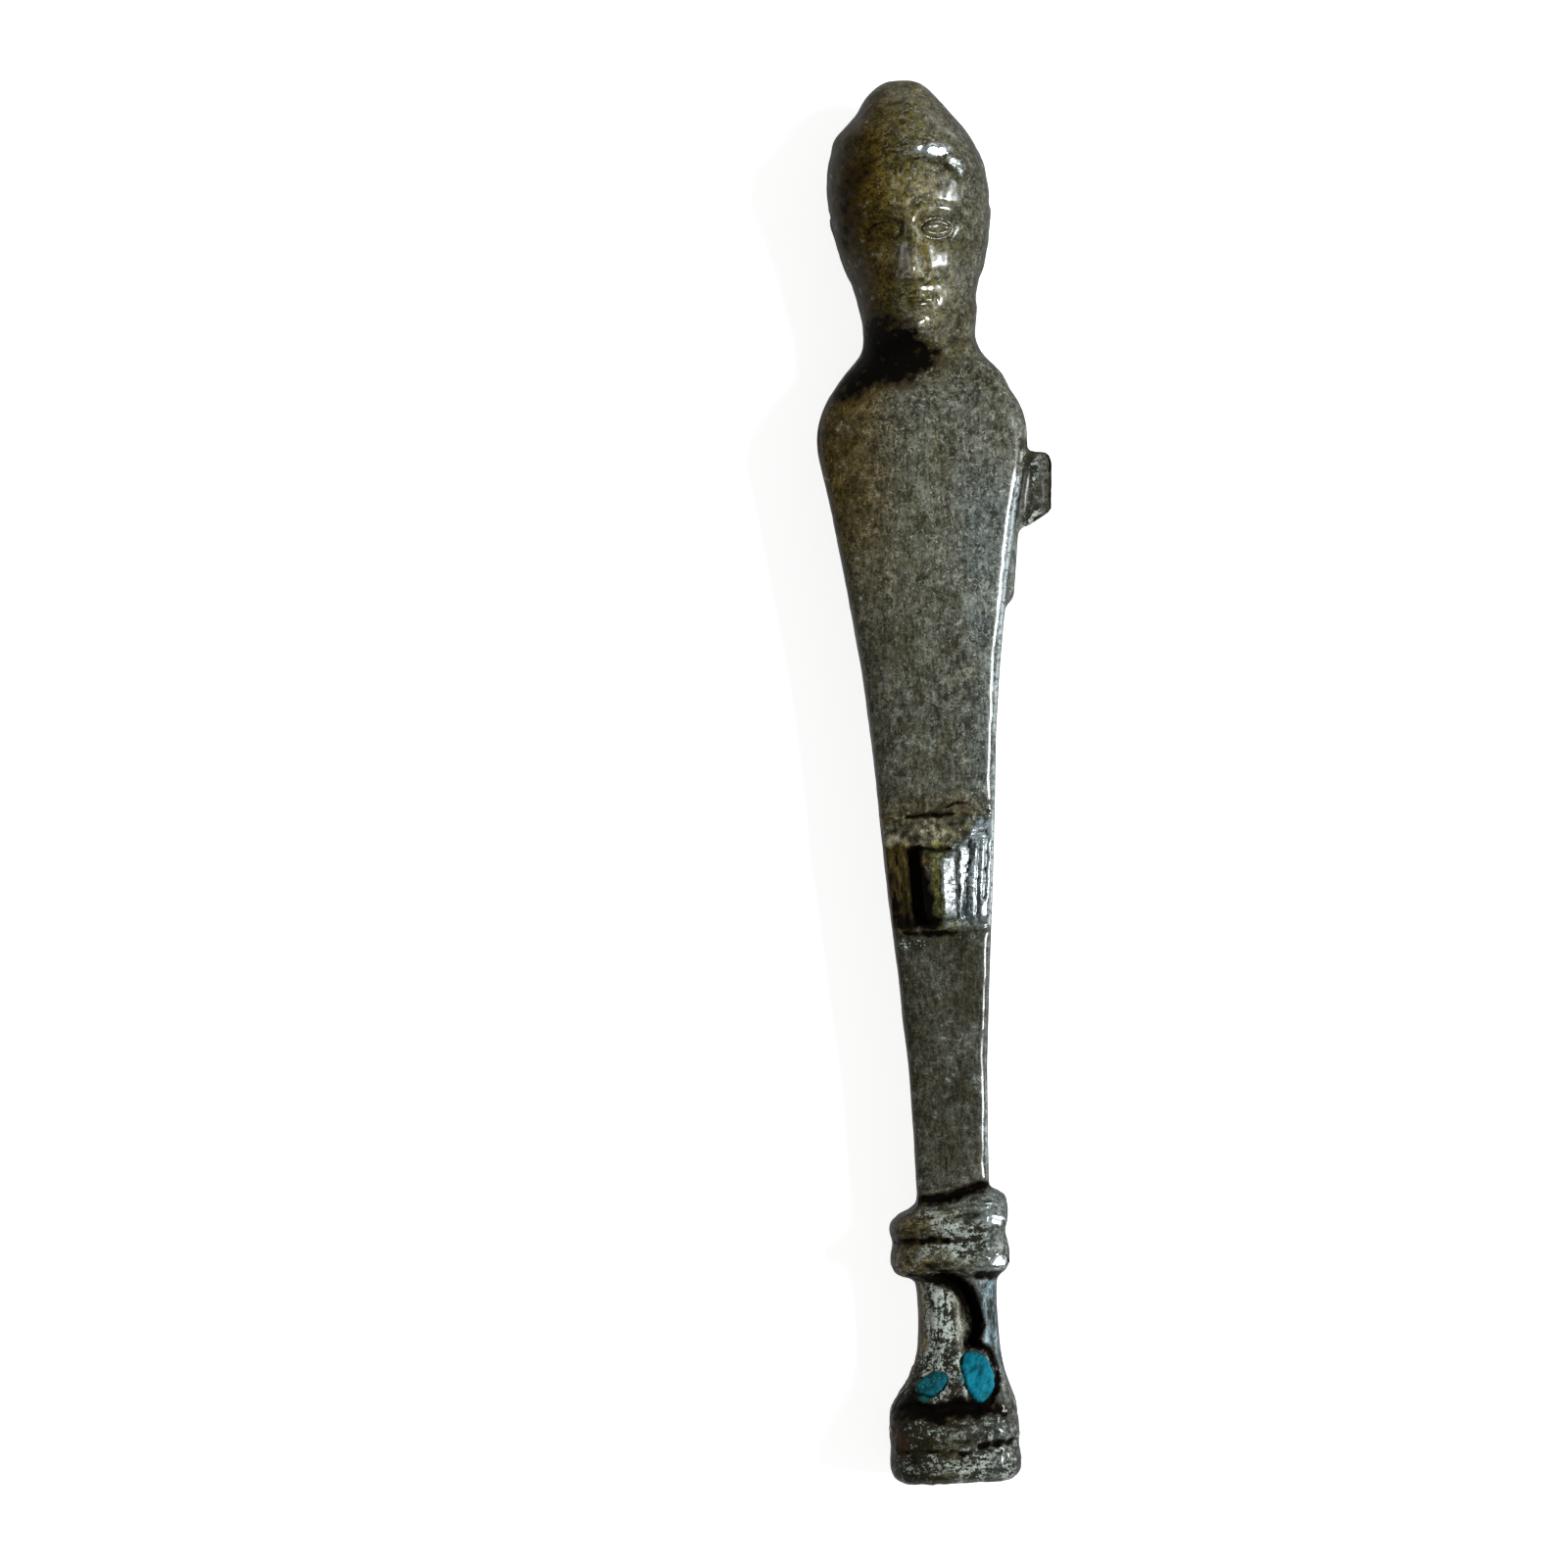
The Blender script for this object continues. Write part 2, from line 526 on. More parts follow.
# The patina is painted at the points of the casting, for its material: an olive to grey-green skin,
# browner at the left, with dirt in the hollows, crust and some red at the foot, and bright places that
# are rubbed. A line has its strength, reach and route, and a spot its strength, middle and half sizes.
SOOT_LINES = [
    (1.0, 0.80, CHANNEL), (0.8, 0.40, CRESCENT), (1.1, 0.95, DARK_BAND), (0.5, 0.70, BAND_END),
    (0.4, 0.22, BASE_GROOVE), (0.7, 0.34, [(0.9, 2.15), (2.6, 2.34)]),
    (0.9, 0.50, UNDERCUT), (0.6, 0.34, [(-3.4, 13.98), (-0.6, 13.96)]),
    (0.7, 0.50, [(-2.6, 11.9), (-1.2, 11.8)]), (0.8, 0.45, [(1.1, 11.85), (2.2, 11.8)]),
    (0.55, 0.28, SLOT), (0.85, 0.27, [(-1.8, 38.28), (-0.2, 38.27), (0.7, 38.42)]),
    (0.42, 0.20, [(0.0, 38.68), (0.9, 38.95), (1.8, 39.0)]), (0.8, 0.36, [(-2.3, 31.6), (0.5, 31.5)]),
    (0.50, 1.20, TEMPLE), (0.46, 0.16, RIM_LINE), (0.55, 0.24, UNDER_ROLL)]
SOOT_LINES += [(0.45, 0.16, flute) for flute in FLUTES]
SOOT_SPOTS = [(0.6, (-3.4, 5.0), 1.4, 1.1), (0.35, (-2.9, 6.4), 1.0, 1.4), (0.30, (-0.4, 5.5), 0.7, 0.9),
              (1.1, (-1.7, 64.9), 3.5, 3.4), (0.45, (0.4, 64.3), 3.0, 1.8), (0.8, (-4.5, 63.0), 2.6, 1.7)]
CRUST_SPOTS = [(1.25, (-1.7, 30.95), 1.6, 0.65), (0.5, (1.8, 31.2), 1.2, 0.5)]
RED_LINES = [(0.35, 0.6, [(-3.3, 38.5), (3.2, 38.5)]), (0.6, 0.4, [(-0.9, 36.3), (0.9, 36.2)])]
RED_SPOTS = [(1.5, (-3.9, 2.3), 1.1, 1.7), (0.8, (-0.9, 11.85), 0.8, 0.5), (0.8, (2.0, 4.1), 1.4, 0.7)]
STAIN_LINES = [(0.9, 0.75, [(-2.7, 4.5), (-2.3, 5.0), (-1.8, 5.5)])]
STAIN_SPOTS = [(0.5, (0.1, 6.2), 0.6, 1.0), (0.35, (-0.4, 5.9), 1.4, 0.9), (0.5, (-1.6, 6.3), 0.9, 0.5)]
PALE_LINES = [(0.6, 0.26, [(-0.45, 37.5), (-0.15, 37.0), (-0.2, 36.7)]),
              (0.6, 0.24, [(0.3, 37.35), (-0.15, 37.0)])]
PALE_SPOTS = [(0.10, (0.0, 37.3), 0.55, 0.50), (0.12, (-2.9, 37.7), 0.8, 0.6)]


def lines(across, up, rows):
    """The strengths of several lines, added up."""
    return sum(strength * stroke(across, up, route, reach) for strength, reach, route in rows)


def spots(across, up, rows):
    """The strengths of several spots, added up."""
    return sum(strength * spot(across, up, middle, wide, high) for strength, middle, wide, high in rows)


def paint(piece, name, strength):
    """Keeps a strength from 0 to 1 at each point of a piece, for its material."""
    layer = piece.data.attributes.new(name, "FLOAT", "POINT")
    layer.data.foreach_set("value", np.clip(strength, 0.0, 1.0).astype(np.float32))


def blend(value, other, share):
    """Goes from one value to the other."""
    return value + (other - value) * np.clip(share, 0.0, 1.0)


fine = depth_below(figure, 6)
broad = depth_below(figure, 60)
points = read_points(figure)
normals = read_normals(figure)
across, up = strayed(points, 0.16, 0.6)
patches = lumps(points, 1.7, 3)
specks = lumps(points, 0.42, 3)
streaks = lumps(points * (1.0, 0.2, 1.0), 0.32, 3)
cross_streaks = lumps(points * (0.3, 1.0, 1.0), 0.32, 3)

# Where the parts of the casting and of its panel are
steep = (1 - rise(normals[:, 2], 0.10, 0.62)) * (1 - 0.7 * rise(-normals[:, 2], 0.3, 0.8))
facing = rise(normals[:, 2], 0.05, 0.40)
on_head = rise(up, *NECK)
on_foot = 1 - rise(up, 15.8, 17.0)
on_pedestal = between(up, 4.9, 11.4, 0.6)
strip = between(up, 6.9, 11.3, 0.6) * rise(across, 1.1, 1.5)
in_band = facing * between(up, BAND_LOW + 0.1, 38.4, 0.2)
in_panel = facing * between(up, PANEL_LOW + 0.4, BAND_LOW + 0.1, 0.3)
down = np.clip((BAND_LOW - up) / (BAND_LOW - PANEL_LOW), 0.0, 1.0)
in_gap = in_panel * hill(across, BLOCK_LEFT - 0.22 + 0.72 * down, 0.60 + 0.65 * down)
left_field = in_panel * (1 - rise(across, BLOCK_LEFT - 0.8, BLOCK_LEFT - 0.3))
tan_corner = spot(across, up, (-0.80, 35.75), 0.65, 0.50)
block_olive = in_panel * between(across, BLOCK_LEFT + 0.9, 0.0, 0.4)
block_olive += facing * spot(across, up, (0.35, 32.2), 1.0, 0.7)
facet = between(across, FACET_LEFT - 0.06, FACET_RIGHT + 0.06, 0.22)
facet *= facing * between(up, FACET_LOW - 0.2, FACET_HIGH + 0.2, 0.3)
flutes_high = 36.2 + 1.3 * rise(across, 1.2, 2.4)
flutes = between(up, PANEL_LOW + 0.9, flutes_high, 0.9) * rise(across, 0.6, 1.1) * facing

# Dirt, crust and colour
hollows = 0.70 * rise(broad, 0.05, 0.26) + 0.5 * rise(fine, 0.006, 0.035)
paint(figure, "sunk", hollows * (1 - 0.5 * on_foot))
paint(figure, "pits", 0.5 + 18.0 * fine)
soot = lines(across, up, SOOT_LINES) + spots(across, up, SOOT_SPOTS)
soot += 1.2 * in_gap + 0.55 * in_panel * spot(across, up, (-2.3, 32.0), 1.8, 2.6)
soot += left_field * (0.25 + 0.6 * streaks) - 0.9 * tan_corner
soot += 0.30 * on_head * rise(-across, 1.5, 3.6) * (1 - rise(up, 66.0, 72.0))
soot += 0.16 * on_foot * (1 - strip) + 0.35 * stub * rise(across, 6.2, 6.8)
paint(figure, "soot", soot * (1 + 0.6 * specks) * facing + 0.9 * rise(broad, 0.08, 0.22) * (1 - facing))
old_crust = (crust + 0.62 * stub) * (0.85 + 0.40 * patches)
paint(figure, "crust", old_crust + spots(across, up, CRUST_SPOTS))
red = lines(across, up, RED_LINES) + spots(across, up, RED_SPOTS)
paint(figure, "cuprite", red * (0.7 + 0.8 * patches + 0.8 * specks))
warm = 0.8 * tan_corner + 0.7 * left_field + 0.2 * in_band + 0.35 * stub
warm += 0.75 * rise(-across, 0.2, 4.6) * rise(up, 46.0, 58.0) + 0.35 * between(up, 38.3, 39.2, 0.3)
warm += 0.6 * on_head * rise(-across, 0.0, 2.8) + 0.5 * on_foot * rise(-across, 0.0, 2.5)
paint(figure, "warm", warm + 0.25 * patches)
grey = blend(0.85 + 0.15 * rise(across, 0.5, 3.5), 0.12 + 0.60 * rise(across, -0.5, 3.6), on_head)
grey = blend(grey, 0.75, in_band)
grey = blend(grey, 0.20, left_field)
grey = blend(grey, 0.0, np.maximum(block_olive, tan_corner))
paint(figure, "grey", grey + 0.35 * patches)
paint(figure, "green", block_olive)

# How light the skin is
tone = 0.115 + 0.060 * rise(up, 30.0, 41.0) + 0.055 * rise(up, 46.0, 54.0)
tone *= 1 - (0.34 + 0.16 * rise(up, 48.0, 56.0)) * rise(-across, 0.5, 4.5)
tone *= 1 + (0.45 - 0.35 * rise(up, 50.0, 56.0)) * rise(across, 0.5, 3.2)
head_tone = 0.26 * (1 - 0.72 * rise(-across, -0.4, 3.4)) + 0.10 * spot(across, up, (-0.3, 73.5), 2.6, 2.6)
head_tone *= (1 - 0.35 * rise(across, 0.6, 2.6)) * (1 - 0.25 * rise(up, 78.0, 79.6))
tone = blend(tone, head_tone, on_head)
foot_tone = 0.15 + 0.16 * rise(up, 4.6, 5.6) - 0.15 * rise(-across, 0.9, 2.9)
foot_tone += 0.20 * spot(across, up, (0.8, 1.0), 2.4, 1.0) + 0.14 * spot(across, up, (0.4, 13.9), 2.4, 1.7)
foot_tone += 0.16 * stroke(across, up, TONGUE, 1.5)
tone = blend(tone, foot_tone, on_foot)
tone = blend(tone, 0.17 * (1 + 1.0 * specks), in_band)
tone = blend(tone, 0.09 * (1 + 1.5 * streaks), left_field)
tone = blend(tone, 0.23, np.maximum(block_olive, 0.9 * tan_corner))
tone = blend(tone, 0.16, stub)
tone += lines(across, up, PALE_LINES) + spots(across, up, PALE_SPOTS)
tone *= (1 - 0.75 * steep) * (1 + 0.35 * patches) * (1 + (0.30 + 0.4 * in_band) * specks)
tone *= 1 + on_foot * (1.4 * blend(cross_streaks, streaks, on_pedestal) + 0.3 * specks)
paint(figure, "tone", tone)
paint(figure, "brushed", between(up, 17.5, 60.0, 3.0) * (1 - stub) + 0.9 * between(up, 6.5, 11.6, 0.8))
paint(figure, "banded", 0.85 * between(up, -1.0, 4.2, 0.8) + 0.85 * between(up, 12.0, 17.0, 0.5))
cool = strip + 0.9 * flutes + 0.35 * rise(across, 1.0, 3.0) * between(up, 17.0, 56.0, 3.0)
paint(figure, "cool", cool + 0.4 * on_foot * rise(across, -0.5, 1.5))
blue_stain = lines(across, up, STAIN_LINES) + spots(across, up, STAIN_SPOTS)
paint(figure, "blue_stain", blue_stain * facing)

# What is rubbed bright, and what only shines
rim_flat = spot(across, up, (1.40, 76.12), 1.2, 0.60)
rolled = facing * (0.40 * stroke(across, up, ROLL, 0.60) * (1 + 0.8 * specks) + 1.1 * rim_flat)
bright_beads = facing * bead_ends
thin_edge = stroke(points[:, 0], up, RIGHT_EDGE, 0.40) * rise(up, 17.0, 19.0) * facing
even_edge = stroke(points[:, 0], up, RIGHT_EDGE, 0.8) * facing
paint(figure, "even", even_edge + bright_beads + 0.40 * on_head)
polish = 0.56 * facet + (0.56 + 0.30 * rise(up, 35.8, 36.8) + 0.8 * streaks) * flutes
polish += 1.5 * bright_beads + 0.7 * spot(across, up, (2.5, 3.0), 0.9, 0.4) + rolled + 0.8 * thin_edge
paint(figure, "polish", polish)
head_gloss = on_head * between(across, -0.2, 1.4, 1.5)
head_gloss *= np.clip(0.7 + 1.3 * patches + 1.6 * specks, 0.1, 1.0)
head_gloss *= 1 - 0.8 * rise(up, 77.3, 78.8)
head_gloss *= 1 - 0.75 * spot(np.abs(across - FACE_ASIDE), up, (EYE_W, EYE_UP), 1.1, 0.75)
gloss = rim_flat * (0.8 + 0.9 * specks) + 0.1 * facet + (0.60 + 0.9 * streaks) * flutes
gloss += stroke(across, up, RIGHT_EDGE, 0.8) + 1.5 * bright_beads + head_gloss
gloss += 0.05 * rise(across, -2.0, 0.5) + 0.5 * on_foot * rise(across, 1.2, 2.2) * (1 - strip)
gloss *= 1 - between(up, 63.4, 65.0, 0.5)
paint(figure, "gloss", gloss * (1 - rise(-normals[:, 2], -0.72, -0.45)))

# The bronze's material: an old skin whose colour, shine and grain follow what is painted at the points.
# The blue filling shares its grain.
COAT_ROUGHNESS = 0.17
COAT_IOR = 1.8
SKIN_SHEEN = 0.12
GRAIN_DEPTH = 0.075 * MM
SKIN_DARK = (0.006, 0.005, 0.002, 1.0)
OLIVE = (0.30, 0.238, 0.050, 1.0)
GREY_GREEN = (0.30, 0.308, 0.252, 1.0)
BROWN = (0.30, 0.185, 0.018, 1.0)
DIRT = (0.020, 0.011, 0.003, 1.0)
GLINT = (0.42, 0.43, 0.36, 1.0)
TAN = (0.42, 0.31, 0.10, 1.0)
CRUST = (0.40, 0.44, 0.39, 1.0)
CRUST_DARK = (0.016, 0.016, 0.010, 1.0)
COOL = (0.22, 0.32, 0.36, 1.0)
GREEN = (0.25, 0.26, 0.06, 1.0)
CUPRITE = (0.045, 0.014, 0.008, 1.0)
BRIGHT = (0.46, 0.53, 0.54, 1.0)
SOOT = (0.0020, 0.0016, 0.0012, 1.0)
STAIN = (0.003, 0.070, 0.070, 1.0)
GRAZING = (0.20, 0.18, 0.13, 1.0)


def add_node(tree, kind, values=None, **settings):
    """Adds a node. The values are its inputs by name or number, as plain values or as other outputs."""
    made = tree.nodes.new(kind)
    for name, setting in settings.items():
        setattr(made, name, setting)
    for name, value in (values or {}).items():
        if isinstance(value, bpy.types.NodeSocket):
            tree.links.new(value, made.inputs[name])
        else:
            made.inputs[name].default_value = value
    return made


def mix_colours(tree, share, one, other):
    """A colour that goes from one to the other."""
    return add_node(tree, "ShaderNodeMix", {0: share, 6: one, 7: other}, data_type="RGBA").outputs[2]


def mix_values(tree, share, one, other):
    """A value that goes from one to the other."""
    return add_node(tree, "ShaderNodeMix", {0: share, 2: one, 3: other}).outputs[0]


def calculate(tree, operation, one, other):
    """A sum, product or other result of two values."""
    return add_node(tree, "ShaderNodeMath", {0: one, 1: other}, operation=operation).outputs[0]


def distance_from(tree, value, middle):
    """How far a value lies from a middle one, on either side."""
    away = calculate(tree, "SUBTRACT", value, middle)
    return add_node(tree, "ShaderNodeMath", {0: away}, operation="ABSOLUTE").outputs[0]


def ramp(tree, value, low, high):
    """Rises smoothly from 0 to 1 as a value goes from low to high."""
    return add_node(tree, "ShaderNodeMapRange", {"Value": value, "From Min": low, "From Max": high},
                    interpolation_type="SMOOTHSTEP").outputs["Result"]


def cloud(tree, place, scale, detail=3.0, roughness=0.55):
    """A noise pattern with so many lumps to the millimetre."""
    return add_node(tree, "ShaderNodeTexNoise", {"Vector": place, "Scale": scale, "Detail": detail,
                                                 "Roughness": roughness}).outputs["Fac"]


def stretched(tree, place, scale):
    """Places in which a pattern is drawn out or pressed together."""
    return add_node(tree, "ShaderNodeMapping", {"Vector": place, "Scale": scale}).outputs["Vector"]


def painted(tree, name):
    """A strength that was kept at the points of the piece."""
    return add_node(tree, "ShaderNodeAttribute", attribute_name=name).outputs["Fac"]


def make_grain_group():
    """Grain that the bronze and the blue filling share: mottling, flecks, grain, glints and hairlines."""
    tree = bpy.data.node_groups.new("surface grain", "ShaderNodeTree")
    tree.interface.new_socket("Place", in_out="INPUT", socket_type="NodeSocketVector")
    tree.interface.new_socket("Fineness", in_out="INPUT", socket_type="NodeSocketFloat")
    for name in ("Mottle", "Flecks", "Grain", "Glints", "Hairs"):
        tree.interface.new_socket(name, in_out="OUTPUT", socket_type="NodeSocketFloat")
    given = tree.nodes.new("NodeGroupInput").outputs
    scaled = add_node(tree, "ShaderNodeVectorMath", {0: given["Place"], "Scale": given["Fineness"]},
                      operation="SCALE").outputs["Vector"]
    mottle = cloud(tree, scaled, 0.8, 5.0, 0.62)
    flecks = cloud(tree, scaled, 2.6, 6.0, 0.76)
    grain = cloud(tree, scaled, 8.0, 3.0, 0.65)
    glints = ramp(tree, cloud(tree, scaled, 5.5, 2.0, 0.5), 0.62, 0.72)
    level = distance_from(tree, cloud(tree, scaled, 2.0, 2.0), 0.5)
    broken = ramp(tree, cloud(tree, scaled, 1.7, 3.0), 0.49, 0.60)
    hairs = calculate(tree, "MULTIPLY", ramp(tree, level, 0.045, 0.0), broken)
    add_node(tree, "NodeGroupOutput", {"Mottle": mottle, "Flecks": flecks, "Grain": grain, "Glints": glints,
                                       "Hairs": hairs})
    return tree


grain_group = make_grain_group()


def make_bronze():
    """Old bronze: olive skin with lighter worn tops, polished places, crust and dirt."""
    material = bpy.data.materials.new("old_bronze")
    material.use_nodes = True
    tree = material.node_tree
    shader = tree.nodes["Principled BSDF"]
    shader.inputs["Specular IOR Level"].default_value = SKIN_SHEEN
    shader.inputs["Specular Tint"].default_value = GRAZING
    shader.inputs["Coat Roughness"].default_value = COAT_ROUGHNESS
    shader.inputs["Coat IOR"].default_value = COAT_IOR
    local = tree.nodes.new("ShaderNodeTexCoord").outputs["Object"]
    place = stretched(tree, local, (1 / MM, 1 / MM, 1 / MM))
    grain = add_node(tree, "ShaderNodeGroup", {"Place": place, "Fineness": 1.0}, node_tree=grain_group)
    mottle, flecks, fine_grain, glints, hairs = grain.outputs
    strokes = cloud(tree, stretched(tree, place, (5.0, 1.3, 5.0)), 1.0, 4.0, 0.70)
    bands = cloud(tree, stretched(tree, place, (1.4, 4.8, 3.0)), 1.0, 4.0, 0.70)

    warm, grey, tone = painted(tree, "warm"), painted(tree, "grey"), painted(tree, "tone")
    sunk, pits, soot = painted(tree, "sunk"), painted(tree, "pits"), painted(tree, "soot")
    crusted, cuprite, stain = painted(tree, "crust"), painted(tree, "cuprite"), painted(tree, "blue_stain")
    polish, brushed, gloss = painted(tree, "polish"), painted(tree, "brushed"), painted(tree, "gloss")
    cool, green = painted(tree, "cool"), painted(tree, "green")
    banded, even = painted(tree, "banded"), painted(tree, "even")

    # The skin, light where its relief stands out, with scratches, glints and hairlines
    relief = mix_values(tree, calculate(tree, "MULTIPLY", brushed, 0.45), flecks, strokes)
    relief = mix_values(tree, calculate(tree, "MULTIPLY", banded, 0.55), relief, bands)
    relief = mix_values(tree, 0.22, relief, mottle)
    relief = mix_values(tree, 0.20, relief, fine_grain)
    pattern = mix_values(tree, ramp(tree, relief, 0.43, 0.57), 0.30, 1.70)
    light = mix_colours(tree, warm, mix_colours(tree, grey, OLIVE, GREY_GREEN), BROWN)
    light = mix_colours(tree, green, mix_colours(tree, cool, light, COOL), GREEN)
    colour = mix_colours(tree, calculate(tree, "MULTIPLY", tone, pattern), SKIN_DARK, light)
    scratches = calculate(tree, "MULTIPLY", ramp(tree, strokes, 0.58, 0.70), brushed)
    marks = calculate(tree, "MAXIMUM", calculate(tree, "MULTIPLY", scratches, 0.6), glints)
    marks = calculate(tree, "MAXIMUM", marks, calculate(tree, "MULTIPLY", hairs, 0.8))
    seen = calculate(tree, "MULTIPLY", ramp(tree, tone, 0.02, 0.35), 0.7)
    marked = calculate(tree, "MULTIPLY", marks, seen)
    colour = mix_colours(tree, marked, colour, mix_colours(tree, warm, GLINT, TAN))

    # What is rubbed bright, with the cracks that stay dark in it
    uneven = calculate(tree, "SUBTRACT", mix_values(tree, 0.4, flecks, mottle), 0.5)
    shine = ramp(tree, calculate(tree, "ADD", polish, calculate(tree, "MULTIPLY", uneven, 4.5)), 0.30, 0.85)
    even_shine = ramp(tree, calculate(tree, "MULTIPLY", even, polish), 0.45, 0.75)
    shine = calculate(tree, "MAXIMUM", shine, even_shine)
    colour = mix_colours(tree, calculate(tree, "MULTIPLY", shine, 0.85), colour, BRIGHT)
    split = distance_from(tree, bands, 0.46)
    cracks = calculate(tree, "MAXIMUM", ramp(tree, bands, 0.51, 0.58), ramp(tree, split, 0.010, 0.0))
    cracks = calculate(tree, "MULTIPLY", cracks, shine)
    colour = mix_colours(tree, calculate(tree, "MULTIPLY", cracks, 0.85), colour, DIRT)

    # Crust, stain, red and dirt on top
    crust_mask = ramp(tree, calculate(tree, "ADD", crusted, mottle), 0.85, 1.20)
    crust_mask = calculate(tree, "MULTIPLY", crust_mask, calculate(tree, "SUBTRACT", 1.0, shine))
    grit = mix_values(tree, banded, mix_values(tree, brushed, flecks, strokes), bands)
    grit = mix_values(tree, 0.35, mix_values(tree, 0.4, flecks, grit), fine_grain)
    grit = mix_values(tree, 0.18, grit, mottle)
    grit = calculate(tree, "ADD", grit, calculate(tree, "MULTIPLY", tone, 0.12))
    grit_top = ramp(tree, mix_values(tree, 0.12, grit, calculate(tree, "SUBTRACT", 1.0, pits)), 0.53, 0.59)
    colour = mix_colours(tree, crust_mask, colour, mix_colours(tree, grit_top, CRUST_DARK, CRUST))
    stained = calculate(tree, "ADD", stain, calculate(tree, "MULTIPLY", uneven, 1.5))
    colour = mix_colours(tree, ramp(tree, stained, 0.30, 0.80), colour, STAIN)
    reddened = calculate(tree, "ADD", cuprite, calculate(tree, "MULTIPLY", uneven, 1.5))
    reddened = calculate(tree, "MULTIPLY", ramp(tree, reddened, 0.30, 1.00), 0.7)
    colour = mix_colours(tree, reddened, colour, CUPRITE)
    ragged = calculate(tree, "ADD", soot, calculate(tree, "MULTIPLY", flecks, 1.2))
    ragged = calculate(tree, "ADD", ragged, calculate(tree, "MULTIPLY", mottle, 0.8))
    dirty = calculate(tree, "MULTIPLY", ramp(tree, ragged, 1.15, 1.50), 0.7)
    colour = mix_colours(tree, dirty, colour, DIRT)
    sooty = ramp(tree, calculate(tree, "ADD", ragged, calculate(tree, "MULTIPLY", sunk, 0.45)), 1.38, 1.72)
    colour = mix_colours(tree, sooty, colour, SOOT)
    tree.links.new(colour, shader.inputs["Base Color"])

    # How it shines, and its grain
    dull = calculate(tree, "MAXIMUM", crust_mask, sooty)
    roughness = mix_values(tree, relief, 0.62, 0.42)
    roughness = mix_values(tree, shine, roughness, 0.25)
    roughness = mix_values(tree, cracks, roughness, 0.6)
    roughness = mix_values(tree, dull, roughness, 0.75)
    tree.links.new(roughness, shader.inputs["Roughness"])
    metallic = mix_values(tree, shine, 0.22, 0.75)
    tree.links.new(mix_values(tree, dull, metallic, 0.0), shader.inputs["Metallic"])
    dimmed = calculate(tree, "MAXIMUM", dull, calculate(tree, "MULTIPLY", cracks, 0.8))
    coat = calculate(tree, "MULTIPLY", gloss, calculate(tree, "SUBTRACT", 1.0, dimmed))
    tree.links.new(coat, shader.inputs["Coat Weight"])

    height = mix_values(tree, 0.30, relief, fine_grain)
    height = calculate(tree, "SUBTRACT", height, calculate(tree, "MULTIPLY", hairs, 0.10))
    height = mix_values(tree, crust_mask, height, grit)
    height = mix_values(tree, calculate(tree, "MULTIPLY", shine, 0.5), height, bands)
    strength = mix_values(tree, even, 1.0, 0.12)
    bump = add_node(tree, "ShaderNodeBump", {"Strength": strength, "Distance": GRAIN_DEPTH,
                                             "Height": height})
    tree.links.new(bump.outputs["Normal"], shader.inputs["Normal"])
    return material


figure.data.materials.clear()
figure.data.materials.append(make_bronze())
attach(figure, "root")
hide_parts("herm_figure")

# The blue filling: what is left of it in the two cells, a hard turquoise mass with a worn, finely
# grained face and ragged edges, darker in the left cell. A side has its name, how far its filling
# stands proud, how dirty its rim is, and its two colours.
FILL_SQUARE = 0.06 * MM
FILL_ROUGHNESS = (0.45, 0.75)
FILL_GRAIN_DEPTH = 0.05 * MM
TURQUOISE = (0.000, 0.155, 0.225, 1.0)
TEAL = (0.000, 0.070, 0.095, 1.0)
DEEP_TEAL = (0.000, 0.032, 0.036, 1.0)
PALE_GRAIN = (0.05, 0.30, 0.36, 1.0)
SIDES = [("right", 0.11, 0.45, TURQUOISE, TEAL), ("left", 0.10, 0.2, TEAL, DEEP_TEAL)]


def make_blue(name, body, shade):
    """Turquoise filling, lighter at its grains and darker towards the edge, where dirt lies."""
    material = bpy.data.materials.new(name)
    material.use_nodes = True
    tree = material.node_tree
    shader = tree.nodes["Principled BSDF"]
    shader.inputs["Specular IOR Level"].default_value = 0.10
    local = tree.nodes.new("ShaderNodeTexCoord").outputs["Object"]
    place = stretched(tree, local, (1 / MM, 1 / MM, 1 / MM))
    grain = add_node(tree, "ShaderNodeGroup", {"Place": place, "Fineness": 1.5}, node_tree=grain_group)
    mottle, flecks, fine_grain, glints = grain.outputs[:4]
    colour = mix_colours(tree, ramp(tree, mottle, 0.35, 0.60), shade, body)
    colour = mix_colours(tree, calculate(tree, "MULTIPLY", glints, 0.6), colour, PALE_GRAIN)
    edge = calculate(tree, "ADD", painted(tree, "rim"), calculate(tree, "MULTIPLY", flecks, 1.2))
    colour = mix_colours(tree, ramp(tree, edge, 0.95, 1.45), colour, SOOT)
    tree.links.new(colour, shader.inputs["Base Color"])
    tree.links.new(mix_values(tree, fine_grain, *FILL_ROUGHNESS), shader.inputs["Roughness"])
    bump = add_node(tree, "ShaderNodeBump", {"Strength": 0.8, "Distance": FILL_GRAIN_DEPTH,
                                             "Height": flecks})
    tree.links.new(bump.outputs["Normal"], shader.inputs["Normal"])
    return material


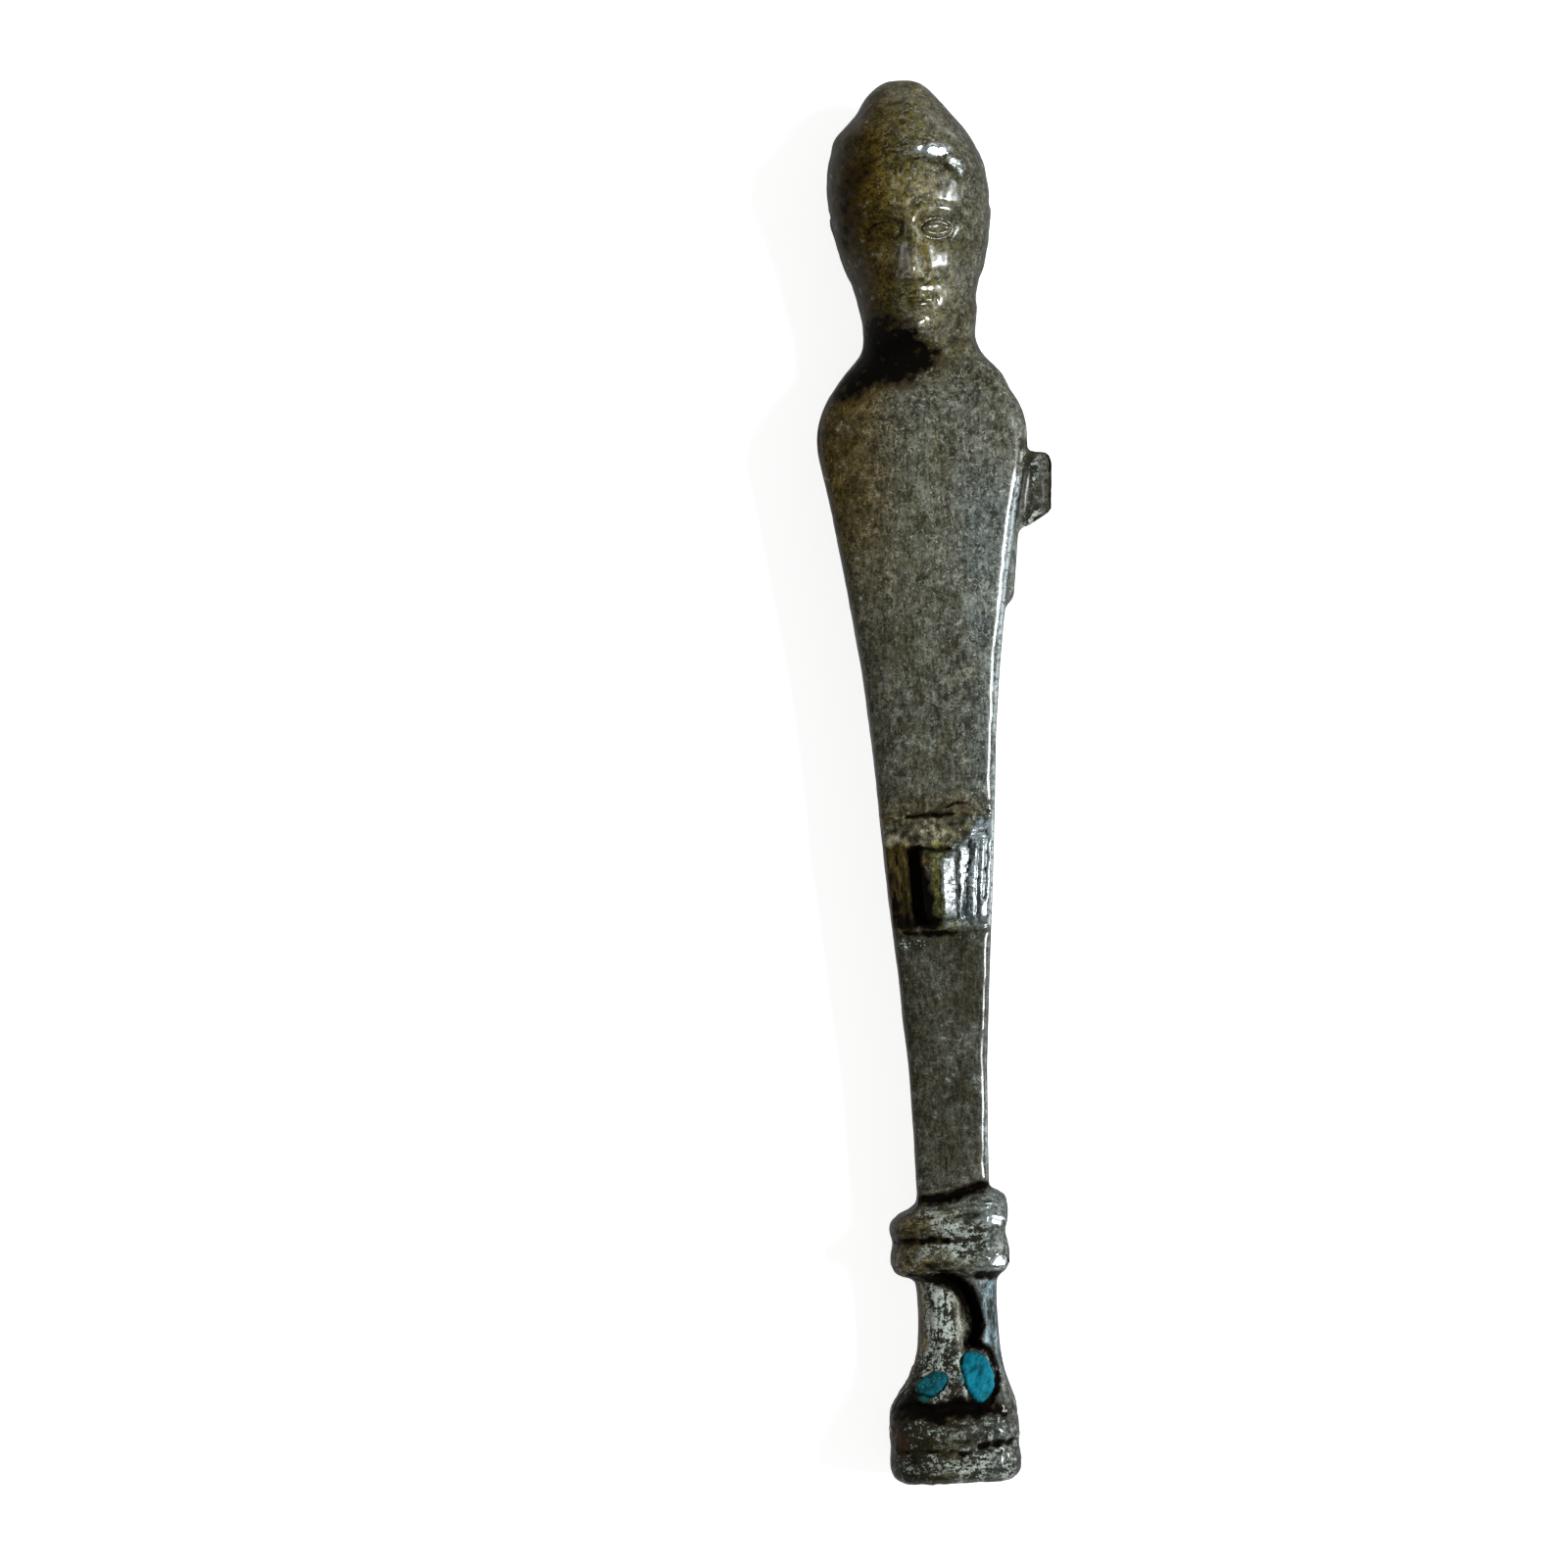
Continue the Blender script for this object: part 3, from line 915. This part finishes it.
for side_name, proud, dirt, body, shade in SIDES:
    fill = even_copy("blue_inlay_" + side_name, "blue_fill_" + side_name, FILL_SQUARE)
    soften(fill, 8)
    points = read_points(fill)
    points += read_normals(fill) * (proud + 0.12 * lumps(points, 0.5, 3))[:, None]
    write_points(fill, points)
    paint(fill, "rim", dirt * rise(-read_normals(fill)[:, 2], -0.7, -0.2))
    fill.data.materials.clear()
    fill.data.materials.append(make_blue("blue_fill_" + side_name, body, shade))
    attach(fill, "root")
    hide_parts("blue_inlay_" + side_name)

# The table: a plain pale board, wide enough to fill every view, under soft daylight from the right. A
# light has its name, place, width, height, power and colour.
TABLE_W = 3.0
TABLE_PALE = (0.70, 0.70, 0.70, 1.0)
TABLE_GLOW = 0.80
WHITE = (1.0, 1.0, 1.0, 1.0)
ROOM_LIGHT = 0.25
LIGHTS = [("window", (0.43, 0.02, 0.475), 0.27, 0.15, 5.5, (0.92, 0.97, 1.0)),
          ("fill", (-0.45, -0.1, 0.50), 0.6, 0.6, 0.3, (1.0, 0.93, 0.84))]
table_mesh = bpy.data.meshes.new("table")
bm = bmesh.new()
bmesh.ops.create_grid(bm, x_segments=1, y_segments=1, size=TABLE_W / 2)
bm.to_mesh(table_mesh)
bm.free()
table = bpy.data.objects.new("table", table_mesh)
bpy.context.collection.objects.link(table)
pale = bpy.data.materials.new("pale_board")
pale.use_nodes = True
pale_shader = pale.node_tree.nodes["Principled BSDF"]
pale_shader.inputs["Base Color"].default_value = TABLE_PALE
pale_shader.inputs["Roughness"].default_value = 0.9
pale_shader.inputs["Emission Color"].default_value = WHITE
pale_shader.inputs["Emission Strength"].default_value = TABLE_GLOW
table_mesh.materials.append(pale)


def add_light(name, place, width, height, power, colour):
    """A soft oblong light that faces the middle of the table."""
    light = bpy.data.lights.new(name, "AREA")
    light.shape = "RECTANGLE"
    light.size = width
    light.size_y = height
    light.energy = power
    light.color = colour
    lamp = bpy.data.objects.new(name, light)
    lamp.location = place
    lamp.rotation_euler = (-Vector(place)).to_track_quat("-Z", "Y").to_euler()
    bpy.context.collection.objects.link(lamp)


for name, place, width, height, power, colour in LIGHTS:
    add_light(name, place, width, height, power, colour)
world = bpy.data.worlds.new("studio")
world.use_nodes = True
world.node_tree.nodes["Background"].inputs["Color"].default_value = WHITE
world.node_tree.nodes["Background"].inputs["Strength"].default_value = ROOM_LIGHT
bpy.context.scene.world = world
bpy.context.scene.view_settings.view_transform = "Standard"
